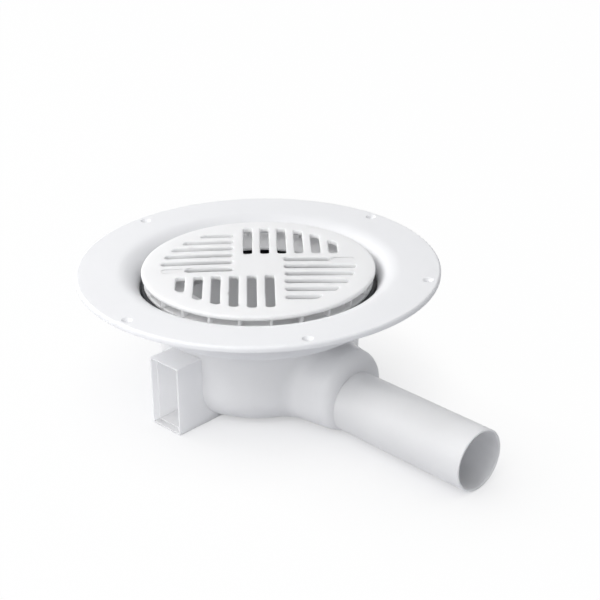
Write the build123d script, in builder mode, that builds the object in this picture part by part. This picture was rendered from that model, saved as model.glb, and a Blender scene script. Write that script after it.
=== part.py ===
"""Flat roof drain: bonded roof flange, bowl with a side outlet, seal ring and loose grate.

Millimetres. Z is up and the floor is z = 0. The origin is the point of the floor under the
flange axis. The outlet runs along +X and the hollow foot points along -Y.
"""

import os
from math import hypot

from build123d import *

# Roof flange
flange_d = 300.0
flange_t = 5.0
rim_top_round = 2.0
rim_under_round = 1.2
dish_drop = 1.0
throat_r = 97.6
lead_in_r = 20.0
throat_thinning = 0.6
ledge_t = 3.0
spigot_wall = 2.8
spigot_len = 6.0

# Screw holes of the flange
hole_edge = 9.0
hole_d = 4.5
countersink_d = 9.0
hole_angles = (30.0, -30.0, 90.0, -90.0, 180.0)
hole_turn = 2.0

# Outlet spigot
outlet_d = 50.0
outlet_wall = 1.8
outlet_len = 127.0
outlet_lift = 0.5
outlet_end_round = 0.5
outlet_root_draft = 0.3
outlet_root_len = 1.0

# Bowl and outlet chamber
bowl_r = 83.0
bowl_wall = 3.0
chamber_reach = 28.0
chamber_root_in = 38.0
chamber_shoulder = 7.0
chamber_flare = 12.0
chamber_crown = 16.0
chamber_rise = 5.5
chamber_spring_rise = 7.5
chamber_flat = 1.5
chamber_blend = 13.0
chamber_end_round = 9.0
collar_gap = 2.5

# Hollow foot
foot_w = 33.0
foot_h = 60.0
foot_len = 24.0
foot_wall = 2.2
foot_edge_round = 1.2
foot_angle = -88.5
foot_mouth_depth = 6.0
foot_mouth_step = 0.8
foot_rim_round = 0.4
foot_back_in = 11.0

# Seal ring
seal_h = 19.5
seal_top_drop = 14.0
seal_wall = 3.0
seal_lip = 5.9
seal_base = 8.9
seal_edge_bevel = 1.0

# Grate and its cage
grate_t = 3.8
grate_edge_drop = 1.4
grate_dome = 1.6
grate_top_round = 1.5
grate_under_round = 0.8
grate_turn = 47.5
slot_w = 7.7
slot_pitch = 14.4
slot_first = -8.9
slot_inner = 21.2
slot_least = 15.0
slot_margin = 15.9
slot_corner = 2.6
bridge_length = 20.5
bridge_recess = 0.7
bridge_gap = 1.0
cage_ring_w = 33.2
cage_plate_t = 2.5
post_count = 24
post_first = 5.5
post_t = 2.6
post_depth = 6.0
post_sink = 1.0

# Clearances
register_clearance = 0.2
seal_clearance = 0.2
grate_clearance = 1.2
cage_clearance = 2.9

# How far a cutting form runs past a face, and how near an edge must lie to be picked
cut_over = 1.0
edge_pick = 0.05

# Heights, stacked from the outlet up
outlet_r = outlet_d / 2
outlet_bore_r = outlet_r - outlet_wall
outlet_z = outlet_r + outlet_lift
chamber_spring = outlet_z + chamber_spring_rise
chamber_end_top = outlet_z + outlet_r + chamber_crown
chamber_root_top = chamber_end_top + chamber_rise
collar_bottom = chamber_root_top + collar_gap
ledge_top = collar_bottom + ledge_t
seal_top = ledge_top + seal_h
flange_top = seal_top + seal_top_drop
flange_under = flange_top - flange_t
dish_top = flange_top - dish_drop
grate_edge_top = flange_top - grate_edge_drop
grate_centre_top = grate_edge_top + grate_dome
cage_plate_top = seal_top + cage_plate_t

# Radii and reaches
flange_r = flange_d / 2
hole_pcd = flange_d - 2 * hole_edge
throat_wall = flange_t - dish_drop - throat_thinning
collar_r = throat_r + throat_wall
spigot_r = bowl_r - bowl_wall - register_clearance
chamber_root = bowl_r - chamber_root_in
chamber_end = bowl_r + chamber_reach
chamber_end_half = outlet_r + chamber_shoulder
chamber_root_half = chamber_end_half + chamber_flare
bowl_edge_round = chamber_end_half - chamber_flat
outlet_reach = chamber_end + outlet_len
outlet_root = chamber_end - chamber_end_round - bowl_wall
outlet_seat = chamber_end + outlet_root_len
foot_reach = bowl_r + foot_len
foot_back = bowl_r - foot_back_in
seal_r = throat_r - seal_clearance
grate_r = throat_r - grate_clearance
cage_r = throat_r - cage_clearance
cage_hole_r = cage_r - cage_ring_w
slot_outer_r = grate_r - slot_margin

os.makedirs("parts", exist_ok=True)


# Roof flange: disc, soft lead-in, throat, seal ledge and register for the bowl, one moulding
lead_in_centre_r = throat_r + lead_in_r
lead_in_low = dish_top - lead_in_r
back_arc_r = lead_in_r - throat_wall
back_arc_rise = flange_under - lead_in_low
back_arc_r_at_under = lead_in_centre_r - (back_arc_r**2 - back_arc_rise**2) ** 0.5

with BuildPart() as roof_flange:
    with BuildSketch(Plane.XZ):
        with BuildLine():
            Polyline(
                (back_arc_r_at_under, flange_under),
                (flange_r, flange_under),
                (flange_r, flange_top),
                (lead_in_centre_r, dish_top),
            )
            RadiusArc(
                (lead_in_centre_r, dish_top),
                (throat_r, lead_in_low),
                -lead_in_r,
            )
            Polyline(
                (throat_r, lead_in_low),
                (throat_r, ledge_top),
                (spigot_r - spigot_wall, ledge_top),
                (spigot_r - spigot_wall, collar_bottom - spigot_len),
                (spigot_r, collar_bottom - spigot_len),
                (spigot_r, collar_bottom),
                (collar_r, collar_bottom),
                (collar_r, lead_in_low),
            )
            RadiusArc(
                (collar_r, lead_in_low),
                (back_arc_r_at_under, flange_under),
                back_arc_r,
            )
        make_face()
        rim_corners = vertices().group_by(Axis.X)[-1].sort_by(Axis.Y)
        fillet(rim_corners[-1], radius=rim_top_round)
        rim_corners = vertices().group_by(Axis.X)[-1].sort_by(Axis.Y)
        fillet(rim_corners[0], radius=rim_under_round)
    revolve(axis=Axis.Z)
    hole_face_z = dish_top + dish_drop * (hole_pcd / 2 - lead_in_centre_r) / (
        flange_r - lead_in_centre_r
    )
    for angle in hole_angles:
        with Locations(Plane.XY.offset(hole_face_z)):
            with PolarLocations(hole_pcd / 2, 1, start_angle=angle + hole_turn):
                CounterSinkHole(hole_d / 2, countersink_d / 2, depth=flange_t + dish_drop)
roof_flange.part.label = "roof_flange"
export_step(roof_flange.part, "parts/roof_flange.step")


def bowl_form(inset: float, top: float) -> Part:
    """Bowl blended into its outlet chamber, drawn in from the outer skin by inset."""
    bowl_turned = Plane(origin=(0, 0, inset), x_dir=(-1, 0, 0), z_dir=(0, 0, 1))
    blend_room = chamber_root_top + 3 * chamber_blend
    with BuildPart() as form:
        with BuildSketch(bowl_turned):
            Circle(bowl_r - inset)
        extrude(amount=blend_room - inset)
        sections = (
            (chamber_root, chamber_root_half, chamber_root_top),
            (chamber_end - inset, chamber_end_half, chamber_end_top),
        )
        for station, half, crown in sections:
            with BuildSketch(Plane.YZ.offset(station)):
                side = half - inset
                with BuildLine():
                    Polyline(
                        (-side, chamber_spring),
                        (-side, inset),
                        (side, inset),
                        (side, chamber_spring),
                    )
                    EllipticalCenterArc(
                        (0, chamber_spring),
                        side,
                        crown - inset - chamber_spring,
                        start_angle=0,
                        arc_size=180,
                    )
                make_face()
        loft()
        wall_r = bowl_r - inset
        end_x = chamber_end - inset
        root_edges = form.edges().filter_by(
            lambda e: abs(hypot((e @ 0.5).X, (e @ 0.5).Y) - wall_r) < edge_pick
            and abs(hypot((e @ 0.1).X, (e @ 0.1).Y) - wall_r) < edge_pick
            and (e @ 0.5).X > 0
            and inset + edge_pick < (e @ 0.5).Z < blend_room - edge_pick
        )
        fillet(root_edges, radius=chamber_blend + inset)
        floor_edges = form.edges().filter_by(
            lambda e: abs((e @ 0.5).Z - inset) < edge_pick
            and abs((e @ 0.1).Z - inset) < edge_pick
            and (e @ 0.5).X < end_x - edge_pick
        )
        fillet(floor_edges, radius=bowl_edge_round - inset)
        end_edges = form.edges().filter_by(
            lambda e: abs((e @ 0.5).X - end_x) < edge_pick
            and abs((e @ 0.1).X - end_x) < edge_pick
        )
        fillet(end_edges, radius=chamber_end_round - inset)
        split(bisect_by=Plane.XY.offset(top), keep=Keep.BOTTOM)
    return form.part


bowl_outside = bowl_form(0.0, collar_bottom)
bowl_inside = bowl_form(bowl_wall, collar_bottom + cut_over)

# The foot's plane looks out along the foot, its own x across and its own y up
foot_plane = Plane.XZ.rotated((0, 0, foot_angle + 90))

with BuildPart() as foot_hollow:
    with BuildSketch(foot_plane.offset(foot_back)):
        with Locations((0, foot_h / 2)):
            Rectangle(foot_w - 2 * foot_wall, foot_h - 2 * foot_wall)
    extrude(amount=foot_reach - foot_back)
    with BuildSketch(foot_plane.offset(foot_reach - foot_mouth_depth)):
        with Locations((0, foot_h / 2)):
            Rectangle(
                foot_w - 2 * (foot_wall - foot_mouth_step),
                foot_h - 2 * (foot_wall - foot_mouth_step),
            )
    extrude(amount=foot_mouth_depth + cut_over)
    add(bowl_outside, mode=Mode.SUBTRACT)

# Drain body: bowl, outlet chamber, outlet spigot and hollow foot, one moulding
with BuildPart() as drain_body:
    add(bowl_outside)
    with Locations(Plane(origin=(outlet_root, 0, outlet_z), z_dir=(1, 0, 0))):
        Cone(
            outlet_r + outlet_root_draft,
            outlet_r,
            outlet_seat - outlet_root,
            align=(Align.CENTER, Align.CENTER, Align.MIN),
        )
    with BuildSketch(Plane.YZ.offset(outlet_seat)):
        with Locations((0, outlet_z)):
            Circle(outlet_r)
    extrude(amount=outlet_reach - outlet_seat)
    with BuildSketch(foot_plane.offset(bowl_r - bowl_edge_round)):
        with Locations((0, foot_h / 2)):
            RectangleRounded(foot_w, foot_h, foot_edge_round)
    extrude(amount=foot_reach - bowl_r + bowl_edge_round)
    add(bowl_inside, mode=Mode.SUBTRACT)
    add(foot_hollow.part, mode=Mode.SUBTRACT)
    with BuildSketch(Plane.YZ.offset(outlet_root)):
        with Locations((0, outlet_z)):
            Circle(outlet_bore_r)
    extrude(amount=outlet_reach, mode=Mode.SUBTRACT)
    outlet_rim = drain_body.edges().filter_by(
        lambda e: abs((e @ 0.5).X - outlet_reach) < edge_pick
    )
    fillet(outlet_rim, radius=outlet_end_round)
    foot_rim = drain_body.edges().filter_by(
        lambda e: abs(foot_plane.to_local_coords(e @ 0.5).Z - foot_reach) < edge_pick
    )
    fillet(foot_rim, radius=foot_rim_round)
drain_body.part.label = "drain_body"
export_step(drain_body.part, "parts/drain_body.step")

# Seal ring: channel section open towards the axis, seated on the ledge
with BuildPart() as seal_ring:
    with BuildSketch(Plane.XZ):
        with BuildLine():
            Polyline(
                (seal_r - seal_base, ledge_top),
                (seal_r, ledge_top),
                (seal_r, seal_top - seal_edge_bevel),
                (seal_r - seal_edge_bevel, seal_top),
                (seal_r - seal_lip, seal_top),
                (seal_r - seal_lip, seal_top - seal_wall),
                (seal_r - seal_wall, seal_top - seal_wall),
                (seal_r - seal_wall, ledge_top + seal_wall),
                (seal_r - seal_base, ledge_top + seal_wall),
                close=True,
            )
        make_face()
    revolve(axis=Axis.Z)
seal_ring.part.label = "seal_ring"
export_step(seal_ring.part, "parts/seal_ring.step")

# Grate: domed plate with pinwheel slots, cage posts and lower ring, one moulding
grate_plane = Plane.XY.rotated((0, 0, grate_turn))
slot_length = slot_outer_r - slot_inner
dome_r = (grate_r**2 + grate_dome**2) / (2 * grate_dome)
slot_rows = [
    slot_first + i * slot_pitch
    for i in range(int(slot_outer_r / slot_pitch) + 2)
    if hypot(slot_first + i * slot_pitch + slot_w / 2, slot_inner + slot_least) < slot_outer_r
]
bridge_x = slot_outer_r - bridge_length / 2
bridge_out = hypot(slot_first, bridge_x)
bridge_top = grate_centre_top - dome_r + (dome_r**2 - bridge_out**2) ** 0.5

with BuildPart() as grate:
    with BuildSketch(Plane.XZ):
        with BuildLine():
            RadiusArc((0, grate_centre_top), (grate_r, grate_edge_top), dome_r)
            Line((grate_r, grate_edge_top), (grate_r, grate_edge_top - grate_t))
            RadiusArc(
                (grate_r, grate_edge_top - grate_t),
                (0, grate_centre_top - grate_t),
                -dome_r,
            )
            Line((0, grate_centre_top - grate_t), (0, grate_centre_top))
        make_face()
        edge_corners = vertices().group_by(Axis.X)[-1].sort_by(Axis.Y)
        fillet(edge_corners[-1], radius=grate_top_round)
        edge_corners = vertices().group_by(Axis.X)[-1].sort_by(Axis.Y)
        fillet(edge_corners[0], radius=grate_under_round)
    revolve(axis=Axis.Z)
    with BuildSketch(grate_plane.offset(cage_plate_top)):
        with PolarLocations(0, 4):
            with Locations(*[(row, slot_inner + slot_length / 2) for row in slot_rows]):
                Rectangle(slot_w, slot_length)
        Circle(slot_outer_r, mode=Mode.INTERSECT)
        with PolarLocations(0, 2, start_angle=-90):
            with Locations((slot_first, bridge_x)):
                Rectangle(slot_pitch, bridge_length, mode=Mode.SUBTRACT)
        corners = vertices()
        fillet(corners, radius=slot_corner)
    extrude(amount=grate_centre_top - cage_plate_top, mode=Mode.SUBTRACT)
    with BuildSketch(grate_plane.offset(bridge_top - bridge_recess)):
        with PolarLocations(0, 2, start_angle=-90):
            with Locations((slot_first, bridge_x)):
                RectangleRounded(slot_w, bridge_length - 2 * bridge_gap, slot_corner)
    extrude(amount=grate_dome, mode=Mode.SUBTRACT)
    with BuildSketch(Plane.XY.offset(seal_top)):
        Circle(cage_r)
        Circle(cage_hole_r, mode=Mode.SUBTRACT)
    extrude(amount=cage_plate_t)
    with BuildSketch(grate_plane.offset(cage_plate_top)):
        with PolarLocations(
            cage_r - post_depth / 2, post_count, start_angle=post_first
        ):
            Rectangle(post_depth, post_t)
    extrude(amount=grate_edge_top - grate_t + post_sink - cage_plate_top)
grate.part.label = "grate"
export_step(grate.part, "parts/grate.step")
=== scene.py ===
"""Looks of a flat roof drain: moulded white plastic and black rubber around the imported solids.

Metres, in the frame of the solids: Z is up, the outlet runs along +X and the hollow foot along -Y.
"""

import logging
import math
from dataclasses import dataclass
from enum import Enum
from typing import Any, Iterable, Optional, Union

import bmesh
import bpy
from mathutils import Matrix, Vector


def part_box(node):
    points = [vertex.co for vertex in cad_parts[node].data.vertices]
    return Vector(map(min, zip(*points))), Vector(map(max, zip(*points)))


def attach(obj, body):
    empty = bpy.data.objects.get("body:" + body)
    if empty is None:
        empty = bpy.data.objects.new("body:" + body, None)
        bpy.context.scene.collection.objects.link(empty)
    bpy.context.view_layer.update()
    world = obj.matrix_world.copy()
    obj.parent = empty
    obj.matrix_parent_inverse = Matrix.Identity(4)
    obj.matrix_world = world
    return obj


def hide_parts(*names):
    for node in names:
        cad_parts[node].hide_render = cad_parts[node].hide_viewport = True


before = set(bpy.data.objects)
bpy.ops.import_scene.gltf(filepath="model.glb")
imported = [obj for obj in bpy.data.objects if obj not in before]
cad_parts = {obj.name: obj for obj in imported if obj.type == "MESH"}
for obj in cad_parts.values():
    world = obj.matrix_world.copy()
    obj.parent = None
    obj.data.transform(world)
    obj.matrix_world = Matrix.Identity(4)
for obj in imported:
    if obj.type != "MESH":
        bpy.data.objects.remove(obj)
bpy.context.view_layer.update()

log = logging.getLogger("roof_drain")

BODY = "root"
WHITE = (1.0, 1.0, 1.0, 1.0)
TOUCH = 1e-7
NOISE_MIDDLE = 0.5
NOISE_ROUGHNESS = 0.5

Colour = tuple[float, float, float, float]
Point = tuple[float, float]


class Value:
    """One node socket that takes part in Python arithmetic by adding Math nodes."""

    def __init__(self, graph: "Graph", socket: bpy.types.NodeSocket) -> None:
        """Keeps the graph and the socket that carries this value."""
        self.graph = graph
        self.socket = socket

    def other(self, name: str) -> "Value":
        """Another output of the same node, by name."""
        return Value(self.graph, self.socket.node.outputs[name])

    def _math(self, operation: str, first: "Operand", second: "Operand") -> "Value":
        """One Math node on two values."""
        return self.graph.add("ShaderNodeMath", {"operation": operation}, {0: first, 1: second})

    def __add__(self, right: "Operand") -> "Value":
        """This value plus another."""
        return self._math("ADD", self, right)

    def __radd__(self, left: "Operand") -> "Value":
        """A number plus this value."""
        return self._math("ADD", left, self)

    def __sub__(self, right: "Operand") -> "Value":
        """This value less another."""
        return self._math("SUBTRACT", self, right)

    def __rsub__(self, left: "Operand") -> "Value":
        """A number less this value."""
        return self._math("SUBTRACT", left, self)

    def __mul__(self, right: "Operand") -> "Value":
        """This value times another."""
        return self._math("MULTIPLY", self, right)

    def __rmul__(self, left: "Operand") -> "Value":
        """A number times this value."""
        return self._math("MULTIPLY", left, self)

    def at_least(self, floor: "Operand") -> "Value":
        """The larger of this value and another."""
        return self._math("MAXIMUM", self, floor)


Operand = Union[Value, float]


class Graph:
    """A shader or geometry node tree that is filled by one method."""

    def __init__(self, tree: bpy.types.NodeTree) -> None:
        """Keeps the tree that the nodes go into."""
        self.tree = tree

    def add(
        self,
        kind: str,
        settings: Optional[dict[str, Any]] = None,
        sockets: Optional[dict[Union[str, int], Any]] = None,
        output: Union[str, int] = 0,
    ) -> Value:
        """Adds one node.

        Args:
            kind: Blender's name for the type of node.
            settings: Properties of the node, set before its sockets. "stops" fills a colour ramp.
            sockets: Values for input sockets. A Value is linked, and a list of them is linked in turn.
            output: The output that the result stands for.

        Returns:
            The chosen output.
        """
        node = self.tree.nodes.new(kind)
        for name, setting in (settings or {}).items():
            if name == "stops":
                self._fill_ramp(node, setting)
            else:
                setattr(node, name, setting)
        for key, given in (sockets or {}).items():
            for part in given if isinstance(given, list) else [given]:
                if isinstance(part, Value):
                    self.tree.links.new(part.socket, node.inputs[key])
                else:
                    node.inputs[key].default_value = part
        outputs = node.outputs
        return Value(self, outputs[output]) if len(outputs) else Value(self, node.inputs[0])

    @staticmethod
    def _fill_ramp(node: bpy.types.Node, stops: Iterable[tuple[float, Colour]]) -> None:
        """Gives a colour ramp its stops, as pairs of place and colour."""
        elements = node.color_ramp.elements
        for index, (place, colour) in enumerate(stops):
            element = elements[index] if index < len(elements) else elements.new(place)
            element.position = place
            element.color = colour


def new_material(name: str) -> tuple[bpy.types.Material, Graph]:
    """Makes an empty node material.

    Args:
        name: The material's name.

    Returns:
        The material and the graph of its tree.
    """
    material = bpy.data.materials.new(name)
    material.use_nodes = True
    material.node_tree.nodes.clear()
    return material, Graph(material.node_tree)


@dataclass(frozen=True)
class MouldedSkin:
    """A moulded surface: drifting tone, faint flow streaks and a fine skin with softened edges.

    Lengths are in metres: drift_size and streak_size are the patches' widths, grain_size is the
    width of the skin's cells, grain_depth their height, edge_soft the radius of crisp edges and
    light_depth how far light spreads inside, by the share that translucency gives. The tone
    follows the drift by drift_share and the streaks by the rest, from tone_low_at to tone_at.
    """

    name: str
    tone: Colour
    tone_low: Colour
    roughness: float
    roughness_spread: float
    drift_size: float
    streak_size: float
    streak_stretch: float
    grain_size: float
    grain_depth: float
    edge_soft: float
    specular: float = 0.5
    translucency: float = 0.0
    light_depth: float = 0.004
    drift_share: float = 0.7
    drift_detail: float = 3.0
    fine_detail: float = 2.0
    tone_low_at: float = 0.3
    tone_at: float = 0.7
    edge_samples: int = 8

    def material(self) -> bpy.types.Material:
        """Builds the node material of this skin."""
        material, graph = new_material(self.name)
        place = graph.add("ShaderNodeTexCoord", output="Object")
        drift = self._noise(graph, place, self.drift_size, self.drift_detail)
        stretched = graph.add(
            "ShaderNodeMapping",
            {"vector_type": "POINT"},
            {"Vector": place, "Scale": (1.0, 1.0, self.streak_stretch)},
        )
        streak = self._noise(graph, stretched, self.streak_size, self.fine_detail)
        grain = self._noise(graph, place, self.grain_size, self.fine_detail)
        blend = drift * self.drift_share + streak * (1.0 - self.drift_share)
        tone = graph.add(
            "ShaderNodeValToRGB",
            {"stops": [(self.tone_low_at, self.tone_low), (self.tone_at, self.tone)]},
            {"Fac": blend},
        )
        rough = self.roughness + (streak - NOISE_MIDDLE) * self.roughness_spread
        soft_edge = graph.add(
            "ShaderNodeBevel", {"samples": self.edge_samples}, {"Radius": self.edge_soft}
        )
        skin = graph.add(
            "ShaderNodeBump",
            None,
            {"Strength": 1.0, "Distance": self.grain_depth, "Height": grain, "Normal": soft_edge},
        )
        surface = graph.add(
            "ShaderNodeBsdfPrincipled",
            None,
            {
                "Base Color": tone,
                "Roughness": rough,
                "Specular IOR Level": self.specular,
                "Subsurface Weight": self.translucency,
                "Subsurface Radius": (1.0, 1.0, 1.0),
                "Subsurface Scale": self.light_depth,
                "Normal": skin,
            },
        )
        graph.add("ShaderNodeOutputMaterial", None, {"Surface": surface})
        return material

    @staticmethod
    def _noise(graph: Graph, place: Value, size: float, detail: float) -> Value:
        """Smooth noise whose patches are about one size wide."""
        return graph.add(
            "ShaderNodeTexNoise",
            {"noise_dimensions": "3D"},
            {
                "Vector": place,
                "Scale": 1.0 / size,
                "Detail": detail,
                "Roughness": NOISE_ROUGHNESS,
            },
        )


class Finish(Enum):
    """The finishes of the drain's mouldings, the flange's toned down in part by painted shade."""

    # Same white plastic as the body. Its tone sits lower partly because its walls keep less light
    # inside (lower translucency) and partly as painted shade that dims its brightly lit top and rim.
    FLANGE = MouldedSkin(
        name="flange_plastic",
        tone=(0.857, 0.860, 0.870, 1.0),
        tone_low=(0.842, 0.845, 0.856, 1.0),
        roughness=0.42,
        roughness_spread=0.10,
        drift_size=0.060,
        streak_size=0.012,
        streak_stretch=0.2,
        grain_size=0.0011,
        grain_depth=0.000012,
        edge_soft=0.0004,
        translucency=0.4,
    )
    BODY = MouldedSkin(
        name="body_plastic",
        tone=(0.946, 0.948, 0.960, 1.0),
        tone_low=(0.930, 0.933, 0.946, 1.0),
        roughness=0.36,
        roughness_spread=0.10,
        drift_size=0.045,
        streak_size=0.010,
        streak_stretch=0.25,
        grain_size=0.0012,
        grain_depth=0.000012,
        edge_soft=0.0004,
        translucency=1.0,
        light_depth=0.0045,
    )
    GRATE = MouldedSkin(
        name="grate_plastic",
        tone=(0.938, 0.940, 0.947, 1.0),
        tone_low=(0.925, 0.927, 0.935, 1.0),
        roughness=0.40,
        roughness_spread=0.10,
        drift_size=0.050,
        streak_size=0.010,
        streak_stretch=0.3,
        grain_size=0.0010,
        grain_depth=0.000012,
        edge_soft=0.0014,
        translucency=1.0,
        light_depth=0.006,
    )
    SEAL = MouldedSkin(
        name="seal_rubber",
        tone=(0.021, 0.022, 0.028, 1.0),
        tone_low=(0.013, 0.014, 0.018, 1.0),
        roughness=0.52,
        roughness_spread=0.16,
        drift_size=0.020,
        streak_size=0.006,
        streak_stretch=0.3,
        grain_size=0.0007,
        grain_depth=0.00003,
        edge_soft=0.0004,
        specular=0.45,
    )


def dress_node(node: str, material: bpy.types.Material) -> bpy.types.Object:
    """Gives a solid of the frame its finish.

    Args:
        node: The solid's name.
        material: Its finish.

    Returns:
        The solid's object.
    """
    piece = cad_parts[node]
    for slot in piece.material_slots:
        slot.material = material
    return piece


def new_object(name: str, mesh: bpy.types.Mesh) -> bpy.types.Object:
    """Links a mesh into the scene as an object at the origin.

    Args:
        name: The object's name.
        mesh: Its mesh, with its place in its vertices.

    Returns:
        The object.
    """
    piece = bpy.data.objects.new(name, mesh)
    bpy.context.scene.collection.objects.link(piece)
    return piece


def settle(piece: bpy.types.Object) -> None:
    """Turns what an object's modifiers make of it into its own plain mesh."""
    graph = bpy.context.evaluated_depsgraph_get()
    made = piece.evaluated_get(graph)
    mesh = bpy.data.meshes.new_from_object(made, preserve_all_data_layers=True, depsgraph=graph)
    piece.modifiers.clear()
    piece.data = mesh


def outline_mesh(name: str, outlines: Iterable[list[Point]]) -> bpy.types.Mesh:
    """Makes closed loops of edges on the floor plane.

    Args:
        name: The mesh's name.
        outlines: The corners of each loop, in order.

    Returns:
        A mesh of edges alone.
    """
    mesh = bpy.data.meshes.new(name)
    points: list[tuple[float, float, float]] = []
    edges: list[tuple[int, int]] = []
    for outline in outlines:
        first = len(points)
        count = len(outline)
        points.extend((x, y, 0.0) for x, y in outline)
        edges.extend((first + i, first + (i + 1) % count) for i in range(count))
    mesh.from_pydata(points, edges, [])
    return mesh


def arc_points(centre: Point, radius: float, start: float, end: float, steps: int) -> list[Point]:
    """Points along an arc in the plane of a profile.

    Args:
        centre: The arc's centre.
        radius: Its radius.
        start: Angle of the first point, in degrees.
        end: Angle of the last point, in degrees.
        steps: How many chords the arc has.

    Returns:
        The points, both ends included.
    """
    angles = [math.radians(start + (end - start) * i / steps) for i in range(steps + 1)]
    return [(centre[0] + radius * math.cos(a), centre[1] + radius * math.sin(a)) for a in angles]


def lathe(shell: bmesh.types.BMesh, profile: list[Point], segments: int) -> None:
    """Turns a profile about the Z axis and adds the faces to a shell.

    Args:
        shell: The mesh that takes the faces.
        profile: Radius and height of each point, from inside to outside over the top. A profile
            that doesn't start on the axis is closed on itself.
        segments: How many steps make the full turn.
    """
    rings = []
    for radius, height in profile:
        if radius < TOUCH:
            rings.append([shell.verts.new((0.0, 0.0, height))])
            continue
        turn = [2 * math.pi * i / segments for i in range(segments)]
        rings.append(
            [shell.verts.new((radius * math.cos(a), radius * math.sin(a), height)) for a in turn]
        )
    pairs = list(zip(rings, rings[1:]))
    if profile[0][0] > TOUCH:
        pairs.append((rings[-1], rings[0]))
    for inner, outer in pairs:
        for i in range(segments):
            j = (i + 1) % segments
            corners = [inner[i % len(inner)], outer[i % len(outer)]]
            corners += [outer[j % len(outer)], inner[j % len(inner)]]
            unique = list(dict.fromkeys(corners))
            shell.faces.new(unique)


@dataclass
class RoofFlange:
    """Round screw-down flange with its soft lead-in, throat and seal ledge."""

    node: str = "roof_flange"

    def build(self) -> bpy.types.Object:
        """Dresses the flange's solid."""
        return dress_node(self.node, Finish.FLANGE.value.material())


@dataclass
class DrainBody:
    """Bowl, outlet chamber, outlet pipe and hollow foot in one moulding."""

    node: str = "drain_body"

    def build(self) -> bpy.types.Object:
        """Dresses the body's solid."""
        return dress_node(self.node, Finish.BODY.value.material())


@dataclass
class SealRing:
    """Black rubber channel ring on the ledge of the throat."""

    node: str = "seal_ring"

    def build(self) -> bpy.types.Object:
        """Dresses the ring's solid."""
        return dress_node(self.node, Finish.SEAL.value.material())


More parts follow.
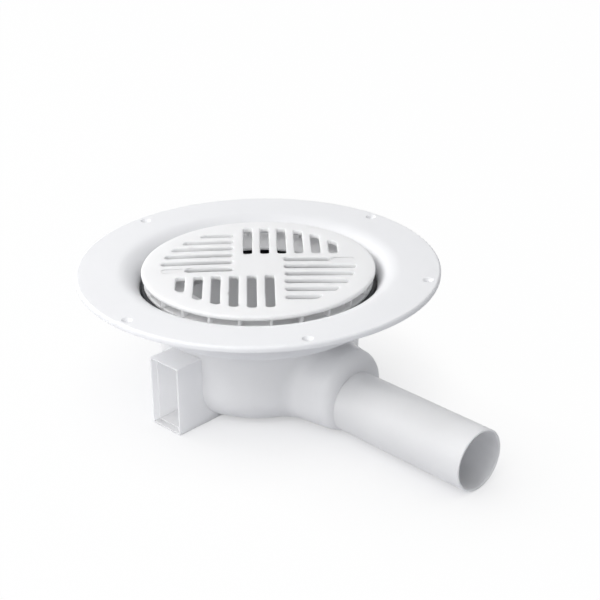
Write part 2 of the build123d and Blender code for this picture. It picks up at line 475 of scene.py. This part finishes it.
@dataclass
class Grate:
    """Domed plate with pinwheel slots, a cage of posts and a lower ring, with moulded edges."""

    node: str = "grate"
    slot: str = "grate_plastic"
    radius: float = 0.0
    cage_low: float = 0.0
    centre_top: float = 0.0
    thickness: float = 0.0038
    dome: float = 0.0016
    top_round: float = 0.0015
    under_round: float = 0.0008
    turn: float = 47.5
    slot_width: float = 0.0077
    slot_pitch: float = 0.0144
    slot_first: float = -0.0089
    slot_count: int = 6
    slot_inner: float = 0.0212
    slot_outer: float = 0.0805
    slot_corner: float = 0.0026
    bridge_start: float = 0.060
    bridge_recess: float = 0.0007
    bridge_gap: float = 0.001
    cage_radius: float = 0.0947
    cage_hole: float = 0.0615
    cage_thickness: float = 0.0025
    post_count: int = 24
    post_first: float = 5.5
    post_thickness: float = 0.0026
    post_depth: float = 0.006
    post_sink: float = 0.001
    post_inset: float = 0.00005
    edge_soft: float = 0.0005
    edge_angle: float = 40.0
    edge_steps: int = 3
    least_edge: float = 0.00025
    weld_reach: float = 0.00001
    lathe_steps: int = 192
    dome_rings: int = 14
    top_steps: int = 5
    under_steps: int = 4
    corner_steps: int = 6

    def build(self) -> bpy.types.Object:
        """Builds the grate in place of its plain solid.

        Returns:
            The finished piece.
        """
        low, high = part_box(self.node)
        self.radius = (high.x - low.x) / 2
        self.cage_low = low.z
        self.centre_top = high.z
        material = Finish.GRATE.value.material()
        piece = new_object("grate_moulding", self._blank())
        slots = new_object("slot_outlines", outline_mesh("slot_outlines", self._slot_outlines()))
        bridges = new_object(
            "bridge_outlines", outline_mesh("bridge_outlines", self._bridge_outlines())
        )
        self._shape(piece, slots, bridges, material)
        for helper in (slots, bridges):
            bpy.data.objects.remove(helper)
        self._soften(piece)
        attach(piece, BODY)
        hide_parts(self.node)
        return piece

    def _top_at(self, radius: float) -> float:
        """Height of the domed top at a radius."""
        return self.centre_top - self.dome * (radius / self.radius) ** 2

    def _blank(self) -> bpy.types.Mesh:
        """Plate without slots, and the cage's lower ring, as two closed turned shells."""
        edge_top = self.centre_top - self.dome
        edge_under = edge_top - self.thickness
        reach = self.radius - self.top_round
        under_reach = self.radius - self.under_round
        rings = self.dome_rings
        plate = [(reach * i / rings, self._top_at(reach * i / rings)) for i in range(rings)]
        upper = (reach, edge_top - self.top_round)
        lower = (under_reach, edge_under + self.under_round)
        plate += arc_points(upper, self.top_round, 90, 0, self.top_steps)
        plate += arc_points(lower, self.under_round, 0, -90, self.under_steps)
        under = [under_reach * i / rings for i in range(rings - 1, -1, -1)]
        plate += [(r, self._top_at(r) - self.thickness) for r in under]
        ring_top = self.cage_low + self.cage_thickness
        ring = [
            (self.cage_hole, self.cage_low),
            (self.cage_hole, ring_top),
            (self.cage_radius, ring_top),
            (self.cage_radius, self.cage_low),
        ]
        shell = bmesh.new()
        lathe(shell, plate, self.lathe_steps)
        lathe(shell, ring, self.lathe_steps)
        bmesh.ops.remove_doubles(shell, verts=shell.verts, dist=TOUCH)
        bmesh.ops.recalc_face_normals(shell, faces=shell.faces)
        mesh = bpy.data.meshes.new("grate_blank")
        shell.to_mesh(mesh)
        shell.free()
        return mesh

    def _slot_outlines(self) -> list[list[Point]]:
        """Corners of the slots in two neighbouring quarters, the second with a bridged slot."""
        half = self.slot_width / 2
        quarters = []
        for bridged in (False, True):
            for row in range(self.slot_count):
                across = self.slot_first + row * self.slot_pitch
                left, right = across - half, across + half
                ends = [math.sqrt(self.slot_outer**2 - x**2) for x in (left, right)]
                if bridged and row == 0:
                    ends = [self.bridge_start, self.bridge_start]
                corners = [(left, self.slot_inner), (right, self.slot_inner)]
                corners += [(right, ends[1]), (left, ends[0])]
                quarters.append([(-y, x) for x, y in corners] if bridged else corners)
        return quarters

    def _bridge_outlines(self) -> list[list[Point]]:
        """Corners of the shallow recess over the bridged slot's end."""
        half = self.slot_width / 2
        left, right = self.slot_first - half, self.slot_first + half
        near, far = self.bridge_start + self.bridge_gap, self.slot_outer - self.bridge_gap
        corners = [(left, near), (right, near), (right, far), (left, far)]
        return [[(-y, x) for x, y in corners]]

    def _prisms(self, graph: Graph, outlines: Value, corner: Value, base: float) -> Value:
        """Cutting prisms on rounded outlines, turned into both halves of the pinwheel.

        Args:
            graph: The geometry tree.
            outlines: The object that holds the outlines.
            corner: Radius of the rounded corners.
            base: Height of the prisms' foot.

        Returns:
            The prisms as one closed mesh.
        """
        loops = graph.add("GeometryNodeObjectInfo", None, {"Object": outlines}, "Geometry")
        curves = graph.add("GeometryNodeMeshToCurve", None, {"Mesh": loops})
        rounded = graph.add(
            "GeometryNodeFilletCurve",
            {"mode": "POLY"},
            {
                "Curve": curves,
                "Radius": corner,
                "Count": self.corner_steps,
                "Limit Radius": True,
            },
        )
        foot = graph.add("GeometryNodeFillCurve", {"mode": "NGONS"}, {"Curve": rounded})
        height = self.centre_top + self.thickness - base
        tall = graph.add(
            "GeometryNodeExtrudeMesh",
            {"mode": "FACES"},
            {"Mesh": foot, "Offset Scale": height, "Individual": False},
        )
        sole = graph.add("GeometryNodeFlipFaces", None, {"Mesh": foot})
        open_prism = graph.add("GeometryNodeJoinGeometry", None, {"Geometry": [tall, sole]})
        prism = graph.add("GeometryNodeMergeByDistance", None, {"Geometry": open_prism})
        raised = graph.add(
            "GeometryNodeTransform", None, {"Geometry": prism, "Translation": (0.0, 0.0, base)}
        )
        halves = graph.add("GeometryNodePoints", None, {"Count": 2})
        return self._turned(graph, halves, raised, math.pi)

    def _turned(self, graph: Graph, points: Value, shape: Value, step: float) -> Value:
        """Copies of a shape on points, each turned by one more step about Z, as real geometry.

        Args:
            graph: The geometry tree.
            points: Where the copies go.
            shape: What is copied.
            step: The angle from one copy to the next, in radians.

        Returns:
            The copies, realized.
        """
        angle = graph.add("GeometryNodeInputIndex") * step
        euler = graph.add("ShaderNodeCombineXYZ", None, {"Z": angle})
        rotation = graph.add("FunctionNodeEulerToRotation", None, {"Euler": euler})
        copies = graph.add(
            "GeometryNodeInstanceOnPoints",
            None,
            {"Points": points, "Instance": shape, "Rotation": rotation},
        )
        return graph.add("GeometryNodeRealizeInstances", None, {"Geometry": copies})

    def _shape(
        self,
        piece: bpy.types.Object,
        slots: bpy.types.Object,
        bridges: bpy.types.Object,
        material: bpy.types.Material,
    ) -> None:
        """Cuts the slots and adds the posts with one geometry tree.

        Args:
            piece: The grate, holding its blank. It ends with the plain result.
            slots: The slots' outlines.
            bridges: The recesses' outlines.
            material: The grate's finish.
        """
        tree = bpy.data.node_groups.new("grate_shape", "GeometryNodeTree")
        named = {
            "Slots": ("NodeSocketObject", slots),
            "Bridges": ("NodeSocketObject", bridges),
            "Corner": ("NodeSocketFloat", self.slot_corner),
            "Posts": ("NodeSocketInt", self.post_count),
            "Finish": ("NodeSocketMaterial", material),
        }
        tree.interface.new_socket("Blank", in_out="INPUT", socket_type="NodeSocketGeometry")
        tree.interface.new_socket("Grate", in_out="OUTPUT", socket_type="NodeSocketGeometry")
        identifiers = {
            name: tree.interface.new_socket(name, in_out="INPUT", socket_type=kind).identifier
            for name, (kind, _) in named.items()
        }
        graph = Graph(tree)
        blank = graph.add("NodeGroupInput", output="Blank")
        corner = blank.other("Corner")
        ring_top = self.cage_low + self.cage_thickness
        bridge_out = math.hypot(self.slot_first, (self.bridge_start + self.slot_outer) / 2)
        recess_floor = self._top_at(bridge_out) - self.bridge_recess
        through = self._prisms(graph, blank.other("Slots"), corner, ring_top + self.post_sink)
        shallow = self._prisms(graph, blank.other("Bridges"), corner, recess_floor)
        turn = {"Rotation": (0.0, 0.0, math.radians(self.turn))}
        cutters = graph.add("GeometryNodeJoinGeometry", None, {"Geometry": [through, shallow]})
        cutters = graph.add("GeometryNodeTransform", None, {"Geometry": cutters, **turn})
        slotted = graph.add(
            "GeometryNodeMeshBoolean",
            {"operation": "DIFFERENCE"},
            {"Mesh 1": blank, "Mesh 2": cutters},
        )
        posts = self._posts(graph, blank.other("Posts"), ring_top)
        whole = graph.add(
            "GeometryNodeMeshBoolean", {"operation": "UNION"}, {"Mesh 2": [slotted, posts]}
        )
        joined = graph.add(
            "GeometryNodeMergeByDistance", None, {"Geometry": whole, "Distance": self.least_edge}
        )
        real = graph.add("GeometryNodeRealizeInstances", None, {"Geometry": joined})
        done = graph.add(
            "GeometryNodeSetMaterial", None, {"Geometry": real, "Material": blank.other("Finish")}
        )
        graph.add("NodeGroupOutput", None, {"Grate": done})
        modifier = piece.modifiers.new("shape", "NODES")
        modifier.node_group = tree
        for name, (_, given) in named.items():
            modifier[identifiers[name]] = given
        settle(piece)

    def _posts(self, graph: Graph, count: Value, ring_top: float) -> Value:
        """The cage's posts between the lower ring and the plate.

        Args:
            graph: The geometry tree.
            count: How many posts stand round the ring.
            ring_top: Height of the lower ring's top.

        Returns:
            The posts as one mesh.
        """
        foot = ring_top - self.post_sink
        head = self.centre_top - self.dome - self.thickness + self.post_sink
        reach = self.cage_radius - self.post_depth / 2 - self.post_inset
        size = (self.post_depth, self.post_thickness, head - foot)
        post = graph.add("GeometryNodeMeshCube", None, {"Size": size}, "Mesh")
        circle = graph.add(
            "GeometryNodeMeshCircle",
            None,
            {"Vertices": count, "Radius": reach},
        )
        ring = self._turned(graph, circle, post, 2 * math.pi / self.post_count)
        return graph.add(
            "GeometryNodeTransform",
            None,
            {
                "Geometry": ring,
                "Translation": (0.0, 0.0, (foot + head) / 2),
                "Rotation": (0.0, 0.0, math.radians(self.turn + self.post_first)),
            },
        )

    def _soften(self, piece: bpy.types.Object) -> None:
        """Rounds the grate's crisp edges and evens its shading."""
        bevel = piece.modifiers.new("soft_edges", "BEVEL")
        bevel.width = self.edge_soft
        bevel.segments = self.edge_steps
        bevel.limit_method = "ANGLE"
        bevel.angle_limit = math.radians(self.edge_angle)
        bevel.use_clamp_overlap = False
        bevel.loop_slide = False
        bevel.miter_outer = "MITER_ARC"
        weld = piece.modifiers.new("closed_corners", "WELD")
        weld.merge_threshold = self.weld_reach
        piece.data.shade_smooth()
        even = piece.modifiers.new("even_shading", "WEIGHTED_NORMAL")
        even.keep_sharp = True
        settle(piece)


@dataclass(frozen=True)
class PhotoCamera:
    """The camera, by its place and aim relative to the flange axis. Angles are in degrees."""

    reach: float = 1.08285
    height: float = 0.59139
    azimuth: float = 47.55
    pitch: float = 25.38
    yaw: float = 1.8
    roll: float = 0.51
    focal_pixels: float = 1437.17
    frame_pixels: float = 600.0
    sensor_mm: float = 36.0

    def to_object(self, right: float, back: float, up: float) -> Vector:
        """A point or direction seen from the camera's side, in the object's frame."""
        turn = Matrix.Rotation(math.radians(self.azimuth), 3, "Z")
        return turn @ Vector((right, back, up))

    def build(self) -> bpy.types.Object:
        """Makes the camera and gives it to the scene.

        Returns:
            The camera object.
        """
        yaw, pitch, roll = (math.radians(a) for a in (self.yaw, self.pitch, self.roll))
        level = math.cos(pitch)
        ahead = Vector((math.sin(yaw) * level, math.cos(yaw) * level, -math.sin(pitch)))
        right = Vector((math.cos(yaw), -math.sin(yaw), 0.0))
        down = ahead.cross(right)
        tilted_right = right * math.cos(roll) + down * math.sin(roll)
        tilted_down = down * math.cos(roll) - right * math.sin(roll)
        axes = [self.to_object(*axis) for axis in (tilted_right, -tilted_down, -ahead)]
        facing = Matrix(axes).transposed().to_4x4()
        data = bpy.data.cameras.new("photo_camera")
        data.sensor_width = self.sensor_mm
        data.lens = self.sensor_mm * self.focal_pixels / self.frame_pixels
        camera = bpy.data.objects.new("photo_camera", data)
        place = self.to_object(0.0, -self.reach, self.height)
        camera.matrix_world = Matrix.Translation(place) @ facing
        bpy.context.scene.collection.objects.link(camera)
        bpy.context.scene.camera = camera
        return camera


@dataclass(frozen=True)
class Softbox:
    """A square soft light, placed right of, behind and above the flange axis as the camera sees it."""

    name: str
    right: float
    back: float
    up: float
    size: float
    power: float
    colour: tuple[float, float, float]
    aim_height: float = 0.06

    def build(self, view: PhotoCamera) -> bpy.types.Object:
        """Makes the light, aimed at the middle of the drain.

        Args:
            view: The camera whose sides the place is given by.

        Returns:
            The light object.
        """
        data = bpy.data.lights.new(self.name, "AREA")
        data.shape = "SQUARE"
        data.size = self.size
        data.energy = self.power
        data.color = self.colour
        lamp = bpy.data.objects.new(self.name, data)
        place = view.to_object(self.right, self.back, self.up)
        aim = Vector((0.0, 0.0, self.aim_height)) - place
        facing = aim.to_track_quat("-Z", "Y").to_matrix().to_4x4()
        lamp.matrix_world = Matrix.Translation(place) @ facing
        bpy.context.scene.collection.objects.link(lamp)
        return lamp


@dataclass
class Studio:
    """White sweep with an even sky, three softboxes and a floor that keeps a faint shadow.

    The floor is lifted towards white where it is seen, by floor_lift in the open and less within
    contact_reach of the drain, by up to contact_share, so that the line under the drain stays dark.
    """

    view: PhotoCamera
    floor_half: float = 6.0
    floor_gap: float = 0.0001
    floor_tone: Colour = (0.74, 0.745, 0.77, 1.0)
    floor_lift: float = 0.985
    contact_reach: float = 0.10
    contact_share: float = 0.6
    contact_samples: int = 8
    sky: Colour = (0.94, 0.96, 1.0, 1.0)
    sky_strength: float = 0.405
    lights: tuple[Softbox, ...] = (
        Softbox(
            name="front_softbox",
            right=-0.3,
            back=-0.8,
            up=1.5,
            size=1.2,
            power=7.2,
            colour=(1.0, 0.99, 0.98),
        ),
        Softbox(
            name="left_softbox",
            right=-1.2,
            back=-1.0,
            up=1.1,
            size=1.1,
            power=13.9,
            colour=(1.0, 0.995, 0.99),
        ),
        Softbox(
            name="back_softbox",
            right=-1.2,
            back=0.9,
            up=0.9,
            size=1.1,
            power=13.2,
            colour=(1.0, 0.99, 0.98),
        ),
    )

    def build(self) -> None:
        """Makes the sky, the floor, the lights and the camera."""
        scene = bpy.context.scene
        scene.view_settings.view_transform = "Standard"
        self._sky()
        self._floor()
        for light in self.lights:
            light.build(self.view)
        self.view.build()

    @staticmethod
    def _seen(graph: Graph) -> Value:
        """One where a ray comes from the camera or by a reflection or through a clear body."""
        camera = graph.add("ShaderNodeLightPath", output="Is Camera Ray")
        mirrored = camera.other("Is Glossy Ray").at_least(camera.other("Is Transmission Ray"))
        return camera.at_least(mirrored)

    def _sky(self) -> None:
        """White to the eye, and an even light on the drain."""
        world = bpy.data.worlds.new("white_sweep")
        world.use_nodes = True
        world.node_tree.nodes.clear()
        bpy.context.scene.world = world
        graph = Graph(world.node_tree)
        light = graph.add(
            "ShaderNodeBackground", None, {"Color": self.sky, "Strength": self.sky_strength}
        )
        white = graph.add("ShaderNodeBackground", None, {"Color": WHITE, "Strength": 1.0})
        mixed = graph.add(
            "ShaderNodeMixShader", None, {0: self._seen(graph), 1: light, 2: white}
        )
        graph.add("ShaderNodeOutputWorld", None, {"Surface": mixed})

    def _floor(self) -> None:
        """Pale floor, lifted towards white where it is seen and open."""
        half = self.floor_half
        mesh = bpy.data.meshes.new("studio_floor")
        sides = [(-half, -half), (half, -half), (half, half), (-half, half)]
        mesh.from_pydata([(x, y, -self.floor_gap) for x, y in sides], [], [(0, 1, 2, 3)])
        material, graph = new_material("studio_floor")
        seen = self._seen(graph)
        matt = graph.add("ShaderNodeBsdfDiffuse", None, {"Color": self.floor_tone})
        white = graph.add("ShaderNodeEmission", None, {"Color": WHITE, "Strength": 1.0})
        openness = graph.add(
            "ShaderNodeAmbientOcclusion",
            {"samples": self.contact_samples},
            {"Distance": self.contact_reach},
            "AO",
        )
        lift = seen * (self.floor_lift - (1.0 - openness) * self.contact_share)
        mixed = graph.add("ShaderNodeMixShader", None, {0: lift, 1: matt, 2: white})
        graph.add("ShaderNodeOutputMaterial", None, {"Surface": mixed})
        mesh.materials.append(material)
        new_object("studio_floor", mesh)


def main() -> None:
    """Builds the drain's pieces in order, then the studio round them."""
    logging.basicConfig(level=logging.INFO, format="%(name)s: %(message)s")
    for assembly in (DrainBody(), RoofFlange(), SealRing(), Grate()):
        piece = assembly.build()
        log.info("%s: %d faces", piece.name, len(piece.data.polygons))
    Studio(PhotoCamera()).build()


if __name__ == "__main__":
    main()
